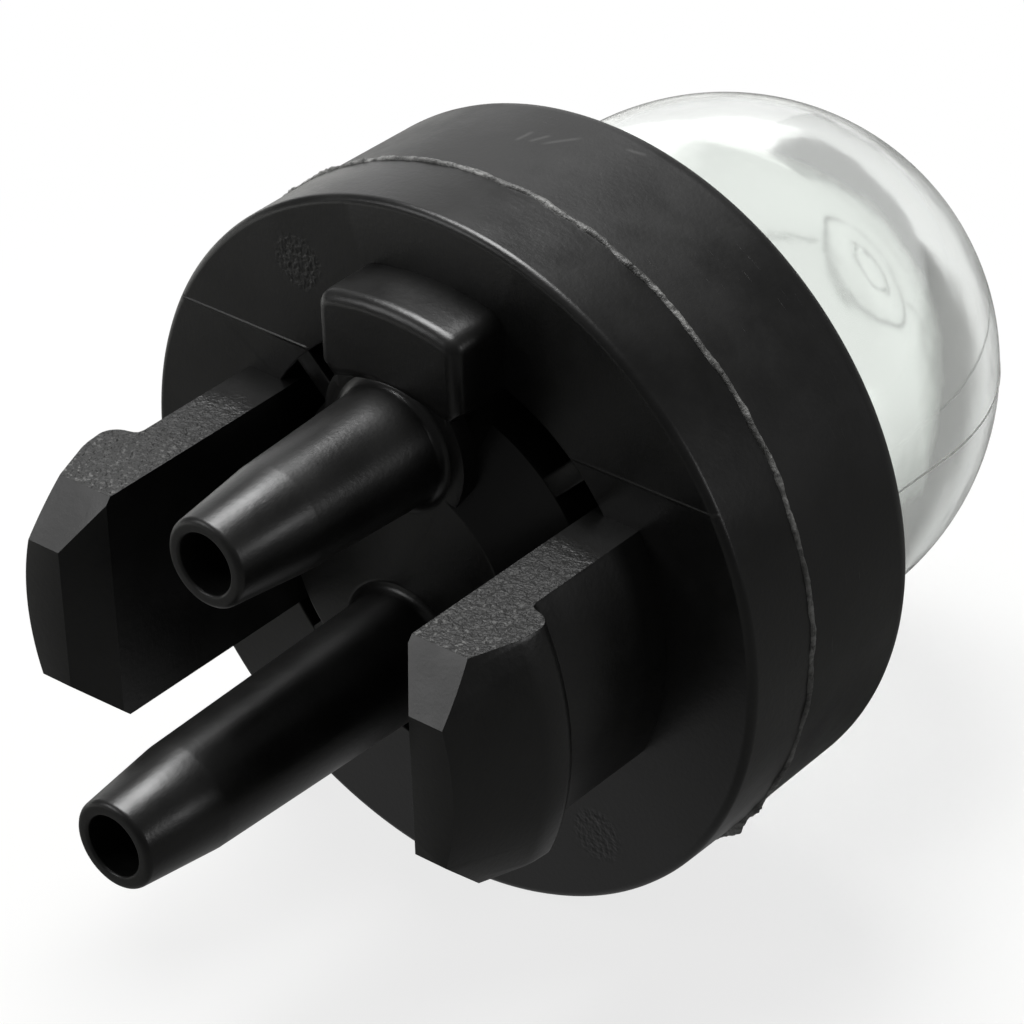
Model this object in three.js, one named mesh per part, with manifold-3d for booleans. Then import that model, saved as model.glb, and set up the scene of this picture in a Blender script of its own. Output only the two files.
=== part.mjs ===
// A snap-in primer bulb: the squeeze bulb that fills a small engine's carburettor with fuel.
// Millimetres. The bulb's axis is Y. The panel lies on the plane y = 0: the nipples and snap legs
// go through its hole towards +Y, and the clear dome stands out of it towards -Y.
// +Z points from the outlet nipple to the inlet nipple.
import * as THREE from "three";
import { mergeVertices } from "three/addons/utils/BufferGeometryUtils.js";
import Module from "manifold-3d";

const wasm = await Module();
wasm.setup();

// Clear bulb. Its width sets the width of all that surrounds it.
const domeRadius = 8.17;
const domeWall = 1.7;
const domeStandOut = 4.98; // straight part, from the collar to where the cap begins
const domeCapHeight = 8.49;
const bulbFlangeWidth = 1.43;
const bulbFlangeThickness = 1.6;
const bulbFlangeRound = 0.3;

// Crown of the bulb: a flat round recess with the ring that the mould's gate leaves
const crownRadius = 2.4;
const crownDepth = 0.1;
const crownSlope = 0.1;
const gateRadius = 1.05;
const gateHalfWidth = 0.16;
const gateHeight = 0.1;

// Retaining collar
const collarFit = 0.12;
const collarWall = 1.14;
const collarLip = 2.61;
const collarMouthGap = 0.22;
const collarEdgeRound = 0.82;
const collarInnerRound = 0.4;

// Flange of the base, with the ridge that the weld leaves
const flangeStep = 0.04;
const flangeThickness = 2.62;
const flangeEdgeRound = 0.25;
const weldRidgeHeight = 0.1;
const weldRidgeWidth = 0.22;

// Snap legs, whose stems' outer faces lie on the circle of the panel's hole, 15.9 mm (5/8 inch)
const legStemRadius = 7.94;
const legThickness = 2.52;
const legWidth = 7.26;
const legGrip = 4.6; // from the panel plane to the heads
const legHeadLength = 4.05;
const legHook = 0.78; // how far a head stands past its stem
const legHookRound = 0.6;
const legHookArcStart = -80;
const legFilletWidth = 0.12; // where a stem turns out into its head
const legFilletStart = 0.25;
const legFilletEnd = 0.05;
const legHeadLand = 1.4;
const legHeadDraft = 0.1;
const legNoseDrop = 0.19;
const legUpperChamferReach = 1.27;
const legUpperChamferDrop = 1.53;
const legLowerChamferReach = 1.33;
const legLowerChamferDrop = 1.29;
const legLeadReach = 1.1;
const legLeadDepth = 0.9;

// Relief groove round the hub, and its ribs
const grooveLap = 0.03; // the hub's foot just meets the legs' inner faces
const grooveWidth = 1.4;
const grooveDepth = 1.6;
const grooveDraft = 0.1;
const ribAngles = [43.6, 136.4, 223.6, 316.4];
const ribWidth = 0.65;

// Hub, and the neck that joins it to the block
const hubHeight = 1.85;
const hubSlope = 1.52;
const neckWidth = 4;

// Block that keys the part in its hole
const blockWidth = 5;
const blockOuterRadius = 8.95;
const blockDepth = 2.65;
const blockRise = 0.12; // above the hub
const blockFootChamfer = 0.45;
const blockCornerRound = 0.55;
const blockEdgeRound = 0.4;

// Hose nipples
const inletOffset = 4.63;
const inletReach = 9.38;
const outletOffset = -2.09;
const outletReach = 13.55;
const nippleBore = 0.91;
const nippleTipWall = 0.41;
const nippleTaperRise = 0.31;
const nippleTaperLength = 2.8;
const nippleBendShare = 0.35; // of the taper's length, up to which it narrows only a little
const nippleBendDrop = 0.06;
const nippleDraft = 0.19;
const nippleTipRound = 0.2;
const nippleFootRound = 0.28;

// Inner side of the base
const bulbSeatHeight = 0.78;
const bulbSeatFit = 0.05;
const valveFloorDrop = 0.4;
const valveWeb = 1.1;
const valveHoleRadius = 1.4;
const chamberRadius = 1.9;
const chamberRoof = 0.85;
const outletBoreOverlap = 1.6; // how far the outlet's bore runs beside the chamber

// Umbrella and duckbill valve
const umbrellaLap = 0.36; // past the inlet's bore
const umbrellaRoom = 0.4;
const umbrellaThickness = 0.45;
const umbrellaCrown = 0.5;
const stemFit = 0.12;
const barbFit = 0.15;
const barbLength = 0.6;
const duckbillRoom = 0.25;
const duckbillLip = 0.9;
const slitWidth = 0.14;
const slitLength = 1.7;
const valveBore = 0.65;

const flangeSegments = 96;
const domeSegments = 64;
const nippleSegments = 36;
const valveSegments = 64;
const boreSegments = 24;
const outerCapSteps = 12;
const innerCapSteps = 10;
const roundSteps = 5;
const smallRoundSteps = 3;
const buried = 0.6; // how far a joined form runs into its neighbour, and a cut past its surface

// Radii from the bulb outwards
const bulbInnerRadius = domeRadius - domeWall;
const bulbFlangeRadius = domeRadius + bulbFlangeWidth;
const collarInnerRadius = bulbFlangeRadius + collarFit;
const collarRadius = collarInnerRadius + collarWall;
const flangeRadius = collarRadius + flangeStep;
const weldRidgeRadius = flangeRadius + weldRidgeHeight;

// Radii of the hub, the groove and the valve's floor
const legInnerFace = legStemRadius - legThickness;
const legHeadRadius = legStemRadius + legHook;
const grooveInnerRadius = legInnerFace + grooveLap;
const grooveOuterRadius = grooveInnerRadius + grooveWidth;
const hubTopRadius = grooveInnerRadius - hubSlope;
const umbrellaRadius = inletOffset + nippleBore + umbrellaLap;
const valveFloorRadius = umbrellaRadius + umbrellaRoom;

// Heights along the axis
const legReach = legGrip + legHeadLength;
const seamY = -flangeThickness;
const bulbSeatY = seamY - bulbSeatHeight;
const valveFloorY = bulbSeatY + valveFloorDrop;
const valveWebY = valveFloorY + valveWeb;
const chamberEndY = hubHeight - chamberRoof;
const bulbFlangeTopY = bulbSeatY - bulbFlangeThickness;
const collarEndY = bulbFlangeTopY - collarLip;
const capStartY = collarEndY - domeStandOut;

// Solids and geometries

function solidOf(geometry) {
  geometry.deleteAttribute("normal");
  geometry.deleteAttribute("uv");
  const merged = mergeVertices(geometry, 1e-4);
  const index = merged.index.array;
  const position = merged.attributes.position;
  const [a, b, c] = [new THREE.Vector3(), new THREE.Vector3(), new THREE.Vector3()];
  const faces = [];
  let volume = 0;
  for (let i = 0; i < index.length; i += 3) {
    const [p, q, r] = [index[i], index[i + 1], index[i + 2]];
    if (p === q || q === r || r === p) continue;
    faces.push(p, q, r);
    a.fromBufferAttribute(position, p);
    b.fromBufferAttribute(position, q);
    c.fromBufferAttribute(position, r);
    volume += a.dot(b.cross(c));
  }
  if (volume < 0) faces.reverse();
  return new wasm.Manifold(
    new wasm.Mesh({ numProp: 3, vertProperties: position.array, triVerts: new Uint32Array(faces) }),
  );
}

function geometryOf(solid) {
  const mesh = solid.getMesh();
  const geometry = new THREE.BufferGeometry();
  geometry.setAttribute("position", new THREE.BufferAttribute(mesh.vertProperties, mesh.numProp));
  geometry.setIndex(new THREE.BufferAttribute(mesh.triVerts, 1));
  geometry.computeVertexNormals();
  return geometry;
}

function join(...solids) {
  return solids.reduce((whole, solid) => whole.add(solid));
}

// A closed outline of [radius, y] points, turned about the line x = 0 at this z.
function turned(outline, segments, z = 0) {
  const points = [...outline, outline[0]].map(([radius, y]) => new THREE.Vector2(radius, y));
  return solidOf(new THREE.LatheGeometry(points, segments).translate(0, 0, z));
}

// The points of an elliptic arc about a centre, from one angle to another, in degrees.
function ellipse(centre, radii, from, to, steps) {
  const points = [];
  for (let i = 0; i <= steps; i++) {
    const angle = THREE.MathUtils.degToRad(from + ((to - from) * i) / steps);
    points.push([centre[0] + radii[0] * Math.cos(angle), centre[1] + radii[1] * Math.sin(angle)]);
  }
  return points;
}

function arc(centreX, centreY, radius, from, to, steps = roundSteps) {
  return ellipse([centreX, centreY], [radius, radius], from, to, steps);
}

// An outline drawn in x and z, given depth from y = low to y = high, with its edges rounded.
function plateAlongY(shape, low, high, round) {
  const geometry = new THREE.ExtrudeGeometry(shape, {
    depth: high - low - 2 * round,
    bevelThickness: round,
    bevelSize: round,
    bevelOffset: -round,
    bevelSegments: smallRoundSteps,
  });
  geometry.translate(0, 0, low + round);
  geometry.applyMatrix4(new THREE.Matrix4().set(1, 0, 0, 0, 0, 0, 1, 0, 0, 1, 0, 0, 0, 0, 0, 1));
  return solidOf(geometry);
}

function cylinderAlongY(radius, low, high, z = 0, segments = nippleSegments) {
  const geometry = new THREE.CylinderGeometry(radius, radius, high - low, segments);
  return solidOf(geometry.translate(0, (low + high) / 2, z));
}

// Base

function flangeAndHub() {
  const outline = [
    [0, hubHeight],
    [hubTopRadius, hubHeight],
    [grooveInnerRadius, 0],
    [grooveInnerRadius + grooveDraft, -grooveDepth],
    [grooveOuterRadius - grooveDraft, -grooveDepth],
    [grooveOuterRadius, 0],
    ...arc(flangeRadius - flangeEdgeRound, -flangeEdgeRound, flangeEdgeRound, 90, 0, smallRoundSteps),
    [flangeRadius, seamY + weldRidgeWidth],
    [weldRidgeRadius, seamY + weldRidgeWidth / 2],
    [weldRidgeRadius, seamY],
    [bulbFlangeRadius + bulbSeatFit, seamY],
    [bulbFlangeRadius + bulbSeatFit, bulbSeatY],
    [valveFloorRadius, bulbSeatY],
    [valveFloorRadius, valveFloorY],
    [0, valveFloorY],
  ];
  return turned(outline, flangeSegments);
}

function grooveRibs() {
  const length = grooveWidth + buried;
  const middle = (grooveOuterRadius + grooveInnerRadius) / 2;
  return ribAngles.map((degrees) => {
    const geometry = new THREE.BoxGeometry(length, grooveDepth + buried, ribWidth);
    geometry.translate(middle, -(grooveDepth + buried) / 2, 0);
    geometry.rotateY(THREE.MathUtils.degToRad(degrees));
    return solidOf(geometry);
  });
}

// The block's outer and inner sides follow the flange's circle, and its feet are cut off at 45 degrees.
function keyBlock() {
  const half = blockWidth / 2;
  const innerRadius = blockOuterRadius - blockDepth;
  const footHalf = half - blockFootChamfer;
  const footAngle = Math.asin(footHalf / innerRadius);
  const footTop = innerRadius * Math.cos(footAngle) + blockFootChamfer;
  const sideTop = Math.sqrt(blockOuterRadius ** 2 - half ** 2) - blockCornerRound;
  const outerAngle = Math.asin((half - blockCornerRound) / blockOuterRadius);
  const cornerX = blockOuterRadius * Math.sin(outerAngle);
  const cornerZ = blockOuterRadius * Math.cos(outerAngle);
  const shape = new THREE.Shape();
  shape.absarc(0, 0, innerRadius, Math.PI / 2 + footAngle, Math.PI / 2 - footAngle, true);
  shape.lineTo(half, footTop);
  shape.lineTo(half, sideTop);
  shape.quadraticCurveTo(half, sideTop + blockCornerRound, cornerX, cornerZ);
  shape.absarc(0, 0, blockOuterRadius, Math.PI / 2 - outerAngle, Math.PI / 2 + outerAngle);
  shape.quadraticCurveTo(-half, sideTop + blockCornerRound, -half, sideTop);
  shape.lineTo(-half, footTop);
  shape.closePath();
  return plateAlongY(shape, -grooveDepth - buried, hubHeight + blockRise, blockEdgeRound);
}

function neck() {
  const reach = blockOuterRadius - blockDepth + buried;
  const height = hubHeight + grooveDepth + buried;
  const geometry = new THREE.BoxGeometry(neckWidth, height, reach);
  return solidOf(geometry.translate(0, hubHeight - height / 2, reach / 2));
}

function nipple(offset, reach) {
  const foot = hubHeight;
  const tip = nippleBore + nippleTipWall;
  const shoulder = tip + nippleTaperRise;
  const base = shoulder + nippleDraft;
  const outline = [
    [0, foot - buried],
    [base + nippleFootRound, foot - buried],
    ...arc(base + nippleFootRound, foot + nippleFootRound, nippleFootRound, 270, 180),
    [shoulder, reach - nippleTaperLength],
    [shoulder - nippleBendDrop, reach - nippleTaperLength * (1 - nippleBendShare)],
    ...arc(tip - nippleTipRound, reach - nippleTipRound, nippleTipRound, 0, 90, smallRoundSteps),
    [0, reach],
  ];
  return turned(outline, nippleSegments, offset);
}

// Both legs are cut from one turned ring, because their outer faces share the hole's axis.
function legs() {
  const hookCentre = legHeadRadius - legHookRound;
  const ring = turned(
    [
      [0, -grooveDepth - buried],
      [legStemRadius, -grooveDepth - buried],
      [legStemRadius, legGrip - legFilletStart],
      [legStemRadius + legFilletWidth, legGrip - legFilletEnd],
      ...arc(hookCentre, legGrip + legHookRound, legHookRound, legHookArcStart, 0),
      [legHeadRadius - legHeadDraft, legGrip + legHeadLand],
      [legStemRadius - legNoseDrop, legReach],
      [0, legReach],
    ],
    flangeSegments,
  );
  return [-1, 1].map((side) => ring.intersect(legPlate(side)).subtract(legLead(side)));
}

// The plate that a leg is cut from: full width, with its two end corners cut off.
function legPlate(side) {
  const half = legWidth / 2;
  const root = -grooveDepth - buried;
  const shape = new THREE.Shape();
  shape.moveTo(root, -half);
  shape.lineTo(legReach - legLowerChamferReach, -half);
  shape.lineTo(legReach, -half + legLowerChamferDrop);
  shape.lineTo(legReach, half - legUpperChamferDrop);
  shape.lineTo(legReach - legUpperChamferReach, half);
  shape.lineTo(root, half);
  shape.closePath();
  const depth = legHeadRadius - legInnerFace + buried;
  const geometry = new THREE.ExtrudeGeometry(shape, { depth, bevelEnabled: false });
  geometry.applyMatrix4(new THREE.Matrix4().set(0, 0, 1, 0, 1, 0, 0, 0, 0, 1, 0, 0, 0, 0, 0, 1));
  geometry.translate(legInnerFace, 0, 0);
  if (side < 0) geometry.scale(-1, 1, 1);
  return solidOf(geometry);
}

// The slope on the inside of a leg's end.
function legLead(side) {
  const start = legReach - legLeadReach;
  const inside = side * (legInnerFace - buried);
  const outside = side * (legInnerFace + legLeadDepth);
  const shape = new THREE.Shape();
  shape.moveTo(side * legInnerFace, start);
  shape.lineTo(outside, legReach);
  shape.lineTo(outside, legReach + buried);
  shape.lineTo(inside, legReach + buried);
  shape.lineTo(inside, start);
  shape.closePath();
  const geometry = new THREE.ExtrudeGeometry(shape, { depth: legWidth + 2 * buried, bevelEnabled: false });
  return solidOf(geometry.translate(0, 0, -legWidth / 2 - buried));
}

// Inlet: straight through to the floor under the umbrella. Outlet: from the duckbill's chamber.
function passages() {
  const below = valveFloorY - buried;
  return join(
    cylinderAlongY(valveHoleRadius, below, chamberEndY),
    cylinderAlongY(chamberRadius, valveWebY, chamberEndY),
    cylinderAlongY(nippleBore, below, inletReach + buried, inletOffset),
    cylinderAlongY(nippleBore, chamberEndY - outletBoreOverlap, outletReach + buried, outletOffset),
  );
}

function base() {
  const moulding = join(
    flangeAndHub(),
    ...grooveRibs(),
    keyBlock(),
    neck(),
    nipple(inletOffset, inletReach),
    nipple(outletOffset, outletReach),
    ...legs(),
  );
  return moulding.subtract(passages());
}

// Collar: an outer wall welded to the flange, and a lip that holds the bulb's flange down.
function retainingCollar() {
  const mouth = domeRadius + collarMouthGap;
  const edgeY = collarEndY + collarEdgeRound;
  const innerEdgeY = collarEndY + collarInnerRound;
  const outline = [
    [collarInnerRadius, seamY],
    [collarRadius, seamY],
    ...arc(collarRadius - collarEdgeRound, edgeY, collarEdgeRound, 0, -90),
    ...arc(mouth + collarInnerRound, innerEdgeY, collarInnerRound, -90, -180, smallRoundSteps),
    [mouth, bulbFlangeTopY],
    [collarInnerRadius, bulbFlangeTopY],
  ];
  return turned(outline, flangeSegments);
}

function bulb() {
  const capY = (radius) => capStartY - domeCapHeight * Math.sqrt(1 - (radius / domeRadius) ** 2);
  const crownAngle = THREE.MathUtils.radToDeg(Math.acos(crownRadius / domeRadius));
  const crownY = capY(crownRadius) + crownDepth;
  const outerCap = [domeRadius, domeCapHeight];
  const innerCap = [bulbInnerRadius, domeCapHeight - domeWall];
  const outline = [
    [bulbInnerRadius, bulbSeatY],
    [bulbFlangeRadius, bulbSeatY],
    ...arc(bulbFlangeRadius - bulbFlangeRound, bulbFlangeTopY + bulbFlangeRound, bulbFlangeRound, 0, -90, 2),
    [domeRadius, bulbFlangeTopY],
    ...ellipse([0, capStartY], outerCap, 0, -crownAngle, outerCapSteps),
    [crownRadius - crownSlope, crownY],
    [gateRadius + gateHalfWidth, crownY],
    [gateRadius, crownY - gateHeight],
    [gateRadius - gateHalfWidth, crownY],
    [0, crownY],
    ...ellipse([0, capStartY], innerCap, -90, 0, innerCapSteps),
  ];
  return turned(outline, domeSegments);
}

// The umbrella lies on the valve floor, its stem passes the web, and the duckbill hangs in the chamber.
function checkValve() {
  const stemRadius = valveHoleRadius - stemFit;
  const barbRadius = chamberRadius - barbFit;
  const umbrellaTopY = valveFloorY - umbrellaThickness;
  const crownY = umbrellaTopY - umbrellaCrown;
  const billY = chamberEndY - duckbillRoom;
  const body = turned(
    [
      [0, billY],
      [stemRadius, billY],
      [stemRadius, valveWebY + barbLength],
      [barbRadius, valveWebY],
      [stemRadius, valveWebY],
      [stemRadius, valveFloorY],
      [umbrellaRadius, valveFloorY],
      [umbrellaRadius, valveFloorY - umbrellaThickness / 2],
      [stemRadius + umbrellaThickness, umbrellaTopY - umbrellaThickness / 2],
      [stemRadius, crownY],
      [0, crownY],
    ],
    valveSegments,
  );
  const bore = cylinderAlongY(valveBore, crownY - buried, valveWebY + barbLength, 0, boreSegments);
  const slit = new THREE.BoxGeometry(slitWidth, billY + buried - valveWebY, slitLength);
  slit.translate(0, (billY + buried + valveWebY) / 2, 0);
  return body.intersect(duckbillEnvelope(billY)).subtract(join(bore, solidOf(slit)));
}

// Two sloping flats that narrow the stem to the duckbill's lips; all above them is left whole.
function duckbillEnvelope(billY) {
  const startY = valveWebY + barbLength;
  const wide = umbrellaRadius + buried;
  const topY = valveFloorY - umbrellaThickness - umbrellaCrown - buried;
  const wedge = new THREE.Shape();
  wedge.moveTo(-chamberRadius, startY);
  wedge.lineTo(-duckbillLip / 2, billY);
  wedge.lineTo(duckbillLip / 2, billY);
  wedge.lineTo(chamberRadius, startY);
  wedge.lineTo(wide, startY);
  wedge.lineTo(wide, topY);
  wedge.lineTo(-wide, topY);
  wedge.lineTo(-wide, startY);
  wedge.closePath();
  const geometry = new THREE.ExtrudeGeometry(wedge, { depth: 2 * wide, bevelEnabled: false });
  return solidOf(geometry.translate(0, 0, -wide));
}

// Scene

const blackNylon = new THREE.MeshStandardMaterial({ color: 0x1c1c1b, roughness: 0.45, metalness: 0 });
const collarNylon = new THREE.MeshStandardMaterial({ color: 0x1f1f1e, roughness: 0.5, metalness: 0 });
const clearVinyl = new THREE.MeshStandardMaterial({
  color: 0xdfe6df,
  roughness: 0.12,
  metalness: 0,
  transparent: true,
  opacity: 0.35,
});
const valveRubber = new THREE.MeshStandardMaterial({ color: 0x2b2a28, roughness: 0.8, metalness: 0 });

function piece(name, solid, material) {
  const mesh = new THREE.Mesh(geometryOf(solid), material);
  mesh.name = name;
  return mesh;
}

const primerBulb = new THREE.Group();
primerBulb.add(
  piece("base", base(), blackNylon),
  piece("retaining_collar", retainingCollar(), collarNylon),
  piece("bulb", bulb(), clearVinyl),
  piece("check_valve", checkValve(), valveRubber),
);

export default primerBulb;
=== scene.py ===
# A snap-in primer bulb seen from behind its panel: the black moulded base with its hose nipples
# and snap legs, the collar welded to it, and the clear bulb beyond. Shapes are drawn in
# millimetres in the part's frame and brought to metres when a piece is finished.
import math

import bmesh
import bpy
from mathutils import Matrix, Vector, noise


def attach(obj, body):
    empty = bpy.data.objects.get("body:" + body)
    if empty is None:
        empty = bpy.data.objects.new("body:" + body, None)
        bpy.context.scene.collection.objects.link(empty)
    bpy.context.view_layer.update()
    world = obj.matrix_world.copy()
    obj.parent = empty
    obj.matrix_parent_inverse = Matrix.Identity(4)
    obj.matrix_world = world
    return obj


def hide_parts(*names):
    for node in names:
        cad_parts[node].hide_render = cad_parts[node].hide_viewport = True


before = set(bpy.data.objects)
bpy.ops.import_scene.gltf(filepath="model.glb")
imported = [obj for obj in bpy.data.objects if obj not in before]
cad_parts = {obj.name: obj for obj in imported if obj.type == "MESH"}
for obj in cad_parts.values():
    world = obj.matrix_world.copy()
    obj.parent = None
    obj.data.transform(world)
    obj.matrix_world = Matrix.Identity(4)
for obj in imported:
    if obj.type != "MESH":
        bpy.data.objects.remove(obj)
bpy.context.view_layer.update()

MM = 0.001

# The base's flange and the weld line where the collar meets it
FLANGE_RADIUS = 10.9
FLANGE_THICKNESS = 2.62
FLANGE_EDGE_ROUND = 0.25
WELD_RADIUS = 10.93
WELD_WIDTH = 0.22
WELD_HEIGHT = 0.07
WELD_LEAST = 0.03
WELD_BURIED = 0.06
WELD_SEGMENTS = 720
WELD_POINTS = 8
# Lumps of flash on the weld: where in degrees, how wide in degrees, and how much they swell it
FLASH_LUMPS = ((221.5, 2.6, 2.6), (215, 1.6, 1.2), (117, 2.0, 0.8))

# Hub, groove and ribs
HUB_HEIGHT = 1.85
HUB_TOP_RADIUS = 3.93
HUB_EDGE_ROUND = 0.12
GROOVE_INNER = 5.45
GROOVE_OUTER = 6.85
GROOVE_DEPTH = 1.6
GROOVE_DRAFT = 0.1
GROOVE_EDGE_ROUND = 0.06
GROOVE_FLOOR_ROUND = 0.1
RIB_ANGLES = (43.6, 136.4, 223.6, 316.4)
RIB_WIDTH = 0.65
RIB_DROP = 0.02
RIB_EDGE_ROUND = 0.06

# Inlet block and neck
BLOCK_HALF = 2.5
BLOCK_OUTER_RADIUS = 8.95
BLOCK_INNER_RADIUS = 6.3
BLOCK_FOOT_CHAMFER = 0.45
BLOCK_HEIGHT = 1.97
BLOCK_CORNER_ROUND = 0.55
BLOCK_EDGE_ROUND = 0.4
NECK_HALF = 2.0
NECK_START = 0.3
NECK_DROP = 0.003
NECK_EDGE_ROUND = 0.12

# Hose nipples: place along z, and how far each reaches along y
INLET = (4.63, 9.38)
OUTLET = (-2.09, 13.55)
NIPPLE_TIP_RADIUS = 1.32
NIPPLE_SHOULDER_RADIUS = 1.63
NIPPLE_BASE_RADIUS = 1.82
NIPPLE_TAPER = 2.8
NIPPLE_SHOULDER_ROUND = 1.5
NIPPLE_TIP_ROUND = 0.2
NIPPLE_FOOT_ROUND = 0.28
NIPPLE_SKIRT = 0.4
NIPPLE_BORE = 0.91
BORE_RIM_ROUND = 0.1
BORE_START = 0.5
BORE_UNDER = 0.002

# Snap legs
LEG_INNER_FACE = 5.42
LEG_HALF_WIDTH = 3.63
LEG_REACH = 8.65
LEG_STEM_RADIUS = 7.94
LEG_HEAD_START = 4.6
LEG_HEAD_RADIUS = 8.72
LEG_HEAD_ROUND = 0.6
LEG_HEAD_ARC_START = -80
LEG_NOSE_START = 6.0
LEG_NOSE_RADIUS = 7.75
# Points of the fillet under a head and of the bend into its nose: how far from the radius,
# and how far before the head's or the nose's start
LEG_FILLET = ((0, 0.3), (0.04, 0.12), (0.14, 0.04))
LEG_NOSE_BEND = ((0.04, 0.3), (0.1, 0))
LEG_UPPER_CHAMFER = (1.27, 1.53)
LEG_LOWER_CHAMFER = (1.33, 1.29)
LEG_LEAD = (1.1, 0.9)
LEG_EDGE_ROUND = 0.07

# Inner side of the base
BULB_SEAT_RADIUS = 9.65
BULB_SEAT_HEIGHT = 0.78
SEAT_EDGE_ROUND = 0.08
VALVE_FLOOR_RADIUS = 6.3
VALVE_FLOOR_DROP = 0.4
VALVE_WEB = 1.1
VALVE_HOLE_RADIUS = 1.4
CHAMBER_RADIUS = 1.9
CHAMBER_END = 1.0
OUTLET_BORE_END = -0.6

# Clear bulb
DOME_RADIUS = 8.17
DOME_STRAIGHT_END = 12.59
DOME_CAP_HEIGHT = 8.49
DOME_WALL = 1.7
BULB_FLANGE_RADIUS = 9.6
BULB_FLANGE_THICKNESS = 1.6
BULB_FLANGE_ROUND = 0.3
BULB_SMALL_ROUND = 0.2
CROWN_RADIUS = 2.4
CROWN_DEPTH = 0.1
CROWN_SLOPE = 0.1
CROWN_EDGE_ROUND = 0.06
CROWN_FLOOR_ROUND = 0.05
GATE_RADIUS = 1.05
GATE_WIDTH = 0.16
GATE_HEIGHT = 0.1
GATE_FLAT_HALF = 0.04
GATE_TOP_ROUND = 0.03
PARTING_WIDTH = 0.09
PARTING_HEIGHT = 0.035
PARTING_BURIED = 0.02
PARTING_START = 0.3

# Collar
COLLAR_RADIUS = 10.86
COLLAR_HEIGHT = 4.99
COLLAR_EDGE_ROUND = 0.82
COLLAR_INNER_ROUND = 0.4
COLLAR_FIT = 0.12
COLLAR_MOUTH_GAP = 0.22
COLLAR_DRAFT = 0.08

# Check valve
UMBRELLA_RADIUS = 5.9
UMBRELLA_THICKNESS = 0.45
UMBRELLA_CROWN = 0.5
UMBRELLA_EDGE_ROUND = 0.1
UMBRELLA_NECK_ROUND = 1.2
UMBRELLA_CROWN_ROUND = 0.3
STEM_FIT = 0.12
BARB_FIT = 0.15
BARB_LENGTH = 0.6
DUCKBILL_END = 0.75
DUCKBILL_LIP = 0.9
SLIT_WIDTH = 0.14
SLIT_LENGTH = 1.7
VALVE_BORE = 0.65

FINE = 256
MEDIUM = 96
BURIED = 0.6
SEAM_Y = -FLANGE_THICKNESS
BULB_SEAT_Y = SEAM_Y - BULB_SEAT_HEIGHT
VALVE_FLOOR_Y = BULB_SEAT_Y + VALVE_FLOOR_DROP
BULB_FLANGE_TOP_Y = BULB_SEAT_Y - BULB_FLANGE_THICKNESS
COLLAR_END_Y = SEAM_Y - COLLAR_HEIGHT


# Mesh helpers, in millimetres

def new_piece(name, verts, faces):
    mesh = bpy.data.meshes.new(name)
    mesh.from_pydata([tuple(v) for v in verts], [], faces)
    work = bmesh.new()
    work.from_mesh(mesh)
    bmesh.ops.recalc_face_normals(work, faces=work.faces)
    work.to_mesh(mesh)
    work.free()
    piece = bpy.data.objects.new(name, mesh)
    bpy.context.scene.collection.objects.link(piece)
    return piece


def arc(centre, radii, start, end, steps):
    """Points of an arc about a centre, from one angle to another in degrees."""
    points = []
    for i in range(steps + 1):
        angle = math.radians(start + (end - start) * i / steps)
        points.append((centre[0] + radii[0] * math.cos(angle), centre[1] + radii[1] * math.sin(angle)))
    return points


def filleted(corners, steps=5):
    """A closed outline from corners (a, b) or (a, b, radius), with those that have a radius rounded."""
    outline = []
    count = len(corners)
    for i, corner in enumerate(corners):
        here = Vector(corner[:2])
        radius = corner[2] if len(corner) > 2 else 0
        if not radius:
            outline.append(tuple(here))
            continue
        before = (Vector(corners[i - 1][:2]) - here).normalized()
        after = (Vector(corners[(i + 1) % count][:2]) - here).normalized()
        half = before.angle(after) / 2
        centre = here + (before + after).normalized() * (radius / math.sin(half))
        first = here + before * (radius / math.tan(half))
        sweep = math.pi - 2 * half
        turn = 1 if before.x * after.y - before.y * after.x < 0 else -1
        arm = first - centre
        for k in range(steps + 1):
            angle = turn * sweep * k / steps
            outline.append((
                centre.x + arm.x * math.cos(angle) - arm.y * math.sin(angle),
                centre.y + arm.x * math.sin(angle) + arm.y * math.cos(angle),
            ))
    return outline


def turned(name, outline, segments, z=0.0):
    """A closed outline of (radius, y) points turned about the line x = 0 at this z."""
    verts = []
    rings = []
    for radius, y in outline:
        if radius < 1e-6:
            rings.append([len(verts)] * segments)
            verts.append((0, y, z))
            continue
        rings.append(list(range(len(verts), len(verts) + segments)))
        for k in range(segments):
            angle = 2 * math.pi * k / segments
            verts.append((radius * math.cos(angle), y, z + radius * math.sin(angle)))
    faces = []
    for i, ring in enumerate(rings):
        following = rings[(i + 1) % len(rings)]
        for k in range(segments):
            j = (k + 1) % segments
            loop = []
            for index in (ring[k], ring[j], following[j], following[k]):
                if index not in loop:
                    loop.append(index)
            if len(loop) > 2:
                faces.append(loop)
    return new_piece(name, verts, faces)


def inset(outline, distance):
    """A closed outline drawn in by a distance all round; its points run counter-clockwise."""
    drawn = []
    count = len(outline)
    for i in range(count):
        here = Vector(outline[i])
        back = (here - Vector(outline[i - 1])).normalized()
        ahead = (Vector(outline[(i + 1) % count]) - here).normalized()
        side = Vector((-back.y - ahead.y, back.x + ahead.x)).normalized()
        drawn.append(here + side * distance / max(0.3, side.dot(Vector((-back.y, back.x)))))
    return drawn


def lofted(name, loops):
    """A closed solid through loops that all have as many points, capped at both ends."""
    count = len(loops[0])
    verts = [point for loop in loops for point in loop]
    faces = [list(range(count)), list(range(len(verts) - count, len(verts)))]
    for i in range(len(loops) - 1):
        for k in range(count):
            j = (k + 1) % count
            faces.append([i * count + k, i * count + j, (i + 1) * count + j, (i + 1) * count + k])
    return new_piece(name, verts, faces)


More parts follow.
